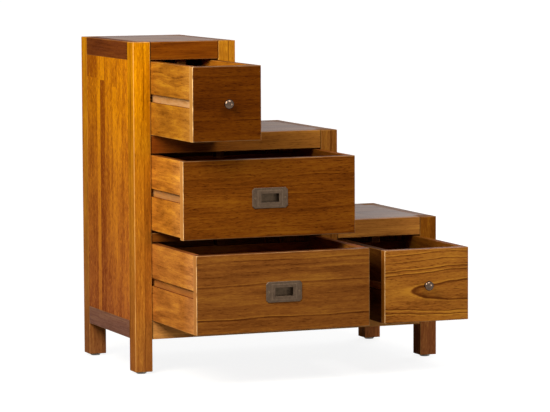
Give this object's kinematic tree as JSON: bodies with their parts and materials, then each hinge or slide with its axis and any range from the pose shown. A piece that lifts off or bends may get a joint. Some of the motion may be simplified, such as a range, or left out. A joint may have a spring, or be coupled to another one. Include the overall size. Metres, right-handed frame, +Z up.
{
  "type": "step chest tansu",
  "caption": "Stepped wooden chest with square posts, flush panels, knobbed and flush-pull drawers that slide on side-hung wooden runners.",
  "frame": {"origin": "on the floor, at the middle of the front left glide's underside, with the drawers open as in the picture", "axes": "+X to the right along the front, towards the low step; +Y from the front to the back; +Z up"},
  "size_m": [0.73, 0.6404, 0.735],
  "materials": {
    "carcass_wood": "honey-coloured satin lacquer on teak-like wood",
    "drawer_front_wood": "darker honey satin lacquer, grain along the board",
    "drawer_box_wood": "pale honey satin lacquer",
    "plywood": "thin veneered board, satin",
    "runner_wood": "plain hardwood, waxed",
    "knob_metal": "brushed nickel",
    "pull_metal": "antiqued pewter, satin",
    "glide_plastic": "off-white moulded plastic"
  },
  "bodies": {
    "carcass": {"drawer_runners": "runner_wood", "front_bottom_rail": "carcass_wood", "front_left_post": "carcass_wood", "front_low_rail": "carcass_wood", "front_mid_post": "carcass_wood", "front_mid_rail": "carcass_wood", "front_right_post": "carcass_wood", "front_tall_post": "carcass_wood", "front_thin_rail": "carcass_wood", "front_top_rail": "carcass_wood", "left_bottom_rail": "carcass_wood", "left_side_panel": "carcass_wood", "left_top_rail": "carcass_wood", "leg_glides": "glide_plastic", "low_back_panel": "plywood", "low_step_top": "carcass_wood", "mid_riser_panel": "carcass_wood", "mid_riser_rail": "carcass_wood", "mid_step_top": "carcass_wood", "rear_bottom_rail": "carcass_wood", "rear_left_post": "carcass_wood", "rear_low_rail": "carcass_wood", "rear_mid_post": "carcass_wood", "rear_mid_rail": "carcass_wood", "rear_right_post": "carcass_wood", "rear_tall_post": "carcass_wood", "rear_top_rail": "carcass_wood", "right_bottom_rail": "carcass_wood", "right_side_panel": "carcass_wood", "right_top_rail": "carcass_wood", "stop_blocks": "runner_wood", "tall_back_panel": "plywood", "tall_riser_panel": "carcass_wood", "tall_riser_rail": "carcass_wood", "tall_step_top": "carcass_wood", "wide_back_panel": "plywood"},
    "top_drawer": {"top_drawer_back": "drawer_box_wood", "top_drawer_bottom": "plywood", "top_drawer_front": "drawer_front_wood", "top_drawer_knob": "knob_metal", "top_drawer_left_side": "drawer_box_wood", "top_drawer_right_side": "drawer_box_wood"},
    "upper_drawer": {"upper_drawer_back": "drawer_box_wood", "upper_drawer_bottom": "plywood", "upper_drawer_front": "drawer_front_wood", "upper_drawer_left_side": "drawer_box_wood", "upper_drawer_pull": "pull_metal", "upper_drawer_right_side": "drawer_box_wood"},
    "lower_drawer": {"lower_drawer_back": "drawer_box_wood", "lower_drawer_bottom": "plywood", "lower_drawer_front": "drawer_front_wood", "lower_drawer_left_side": "drawer_box_wood", "lower_drawer_pull": "pull_metal", "lower_drawer_right_side": "drawer_box_wood"},
    "side_drawer": {"side_drawer_back": "drawer_box_wood", "side_drawer_bottom": "plywood", "side_drawer_front": "drawer_front_wood", "side_drawer_knob": "knob_metal", "side_drawer_left_side": "drawer_box_wood", "side_drawer_right_side": "drawer_box_wood"}
  },
  "joints": [
    {"name": "top_drawer_slide", "type": "slide", "parent": "carcass", "child": "top_drawer", "axis": [0, -1, 0], "range_m": [-0.261, 0.024]},
    {"name": "upper_drawer_slide", "type": "slide", "parent": "carcass", "child": "upper_drawer", "axis": [0, -1, 0], "range_m": [-0.1979, 0.0871]},
    {"name": "lower_drawer_slide", "type": "slide", "parent": "carcass", "child": "lower_drawer", "axis": [0, -1, 0], "range_m": [-0.2769, 0.0081]},
    {"name": "side_drawer_slide", "type": "slide", "parent": "carcass", "child": "side_drawer", "axis": [0, -1, 0], "range_m": [-0.26, 0.025]}
  ]
}
